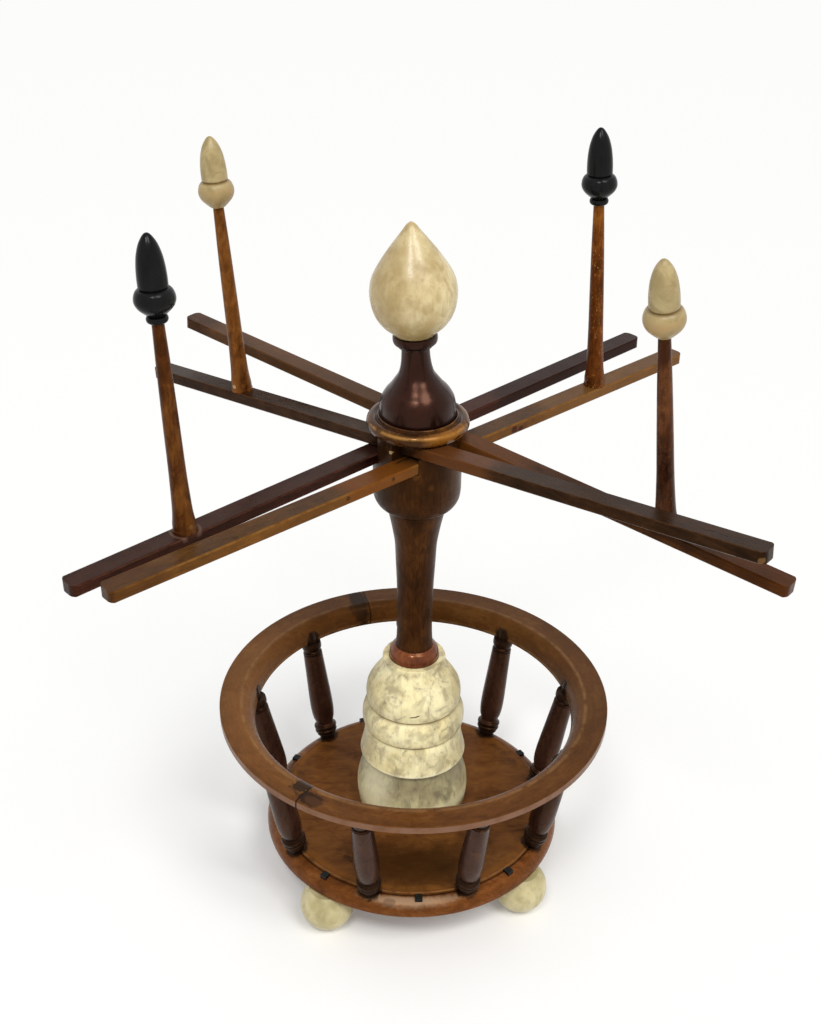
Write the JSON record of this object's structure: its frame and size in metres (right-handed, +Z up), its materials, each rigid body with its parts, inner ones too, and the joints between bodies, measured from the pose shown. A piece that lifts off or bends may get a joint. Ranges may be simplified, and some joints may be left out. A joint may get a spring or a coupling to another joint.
{
  "type": "table wool winder with a ball basket",
  "caption": "Antique table wool winder: a spinning turned pillar carries sliding flat arms with acorn posts above a round galleried basket with a stone stem on ball feet.",
  "frame": {"origin": "the spindle's axis in the plane that the four ball feet stand on", "axes": "+Z up along the spindle's axis; -Y is the front, +X is the right as seen from the front"},
  "size_m": [0.4075, 0.3447, 0.5247],
  "materials": {
    "fruitwood": "satin",
    "panel_wood": "satin",
    "pillar_wood": "gloss",
    "collar_wood": "gloss",
    "vase_mahogany": "gloss",
    "bush_mahogany": "gloss",
    "baluster_wood": "satin",
    "arm_wood_dark": "satin",
    "arm_wood_gold": "satin",
    "arm_wood_brown": "satin",
    "post_wood": "satin",
    "peg_wood": "matte",
    "ebony": "satin",
    "bone": "satin",
    "alabaster": "satin",
    "drum_alabaster": "satin",
    "foot_alabaster": "satin",
    "iron": "matte"
  },
  "bodies": {
    "stand": {"ball_foot_1": "foot_alabaster", "ball_foot_2": "foot_alabaster", "ball_foot_3": "foot_alabaster", "ball_foot_4": "foot_alabaster", "foot_dowels": "peg_wood", "base_board": "fruitwood", "floor_panel": "panel_wood", "edge_pegs": "ebony", "baluster_1": "baluster_wood", "baluster_2": "baluster_wood", "baluster_3": "baluster_wood", "baluster_4": "baluster_wood", "baluster_5": "baluster_wood", "baluster_6": "baluster_wood", "baluster_7": "baluster_wood", "baluster_8": "baluster_wood", "baluster_9": "baluster_wood", "rail_long_segment": "fruitwood", "rail_short_segment": "fruitwood", "rail_dowels": "peg_wood", "stone_drum": "drum_alabaster", "stone_stem": "alabaster", "bush": "bush_mahogany", "spindle": "iron", "spindle_washer": "iron", "spindle_nut": "iron"},
    "head": {"pillar": "pillar_wood", "wall_pin": "peg_wood", "collar": "collar_wood", "vase": "vase_mahogany", "finial_dowel": "peg_wood", "finial": "alabaster"},
    "front_left_arm": {"arm_front_left": "arm_wood_dark", "post_front_left": "post_wood", "post_pin_front_left": "peg_wood", "acorn_front_left": "ebony", "acorn_ring_front_left": "ebony"},
    "back_right_arm": {"arm_back_right": "arm_wood_gold", "post_back_right": "post_wood", "post_pin_back_right": "peg_wood", "acorn_back_right": "ebony", "acorn_ring_back_right": "ebony"},
    "front_right_arm": {"arm_front_right": "arm_wood_brown", "post_front_right": "post_wood", "post_pin_front_right": "peg_wood", "acorn_front_right": "bone"},
    "back_left_arm": {"arm_back_left": "arm_wood_brown", "post_back_left": "post_wood", "post_pin_back_left": "peg_wood", "acorn_back_left": "bone"}
  },
  "joints": [
    {"name": "head_spin", "type": "hinge", "parent": "stand", "child": "head", "pos_m": [0, 0, 0.19], "axis": [0, 0, 1], "continuous": true},
    {"name": "front_left_slide", "type": "slide", "parent": "head", "child": "front_left_arm", "axis": [-0.7311, -0.6818, -0.0244], "range_m": [-0.128, 0.1985]},
    {"name": "back_right_slide", "type": "slide", "parent": "head", "child": "back_right_arm", "axis": [0.742, 0.6704, 0.0052], "range_m": [-0.109, 0.21]},
    {"name": "front_right_slide", "type": "slide", "parent": "head", "child": "front_right_arm", "axis": [0.7832, -0.6186, -0.0628], "range_m": [-0.132, 0.192]},
    {"name": "back_left_slide", "type": "slide", "parent": "head", "child": "back_left_arm", "axis": [-0.786, 0.6141, -0.0715], "range_m": [-0.1005, 0.222]}
  ]
}
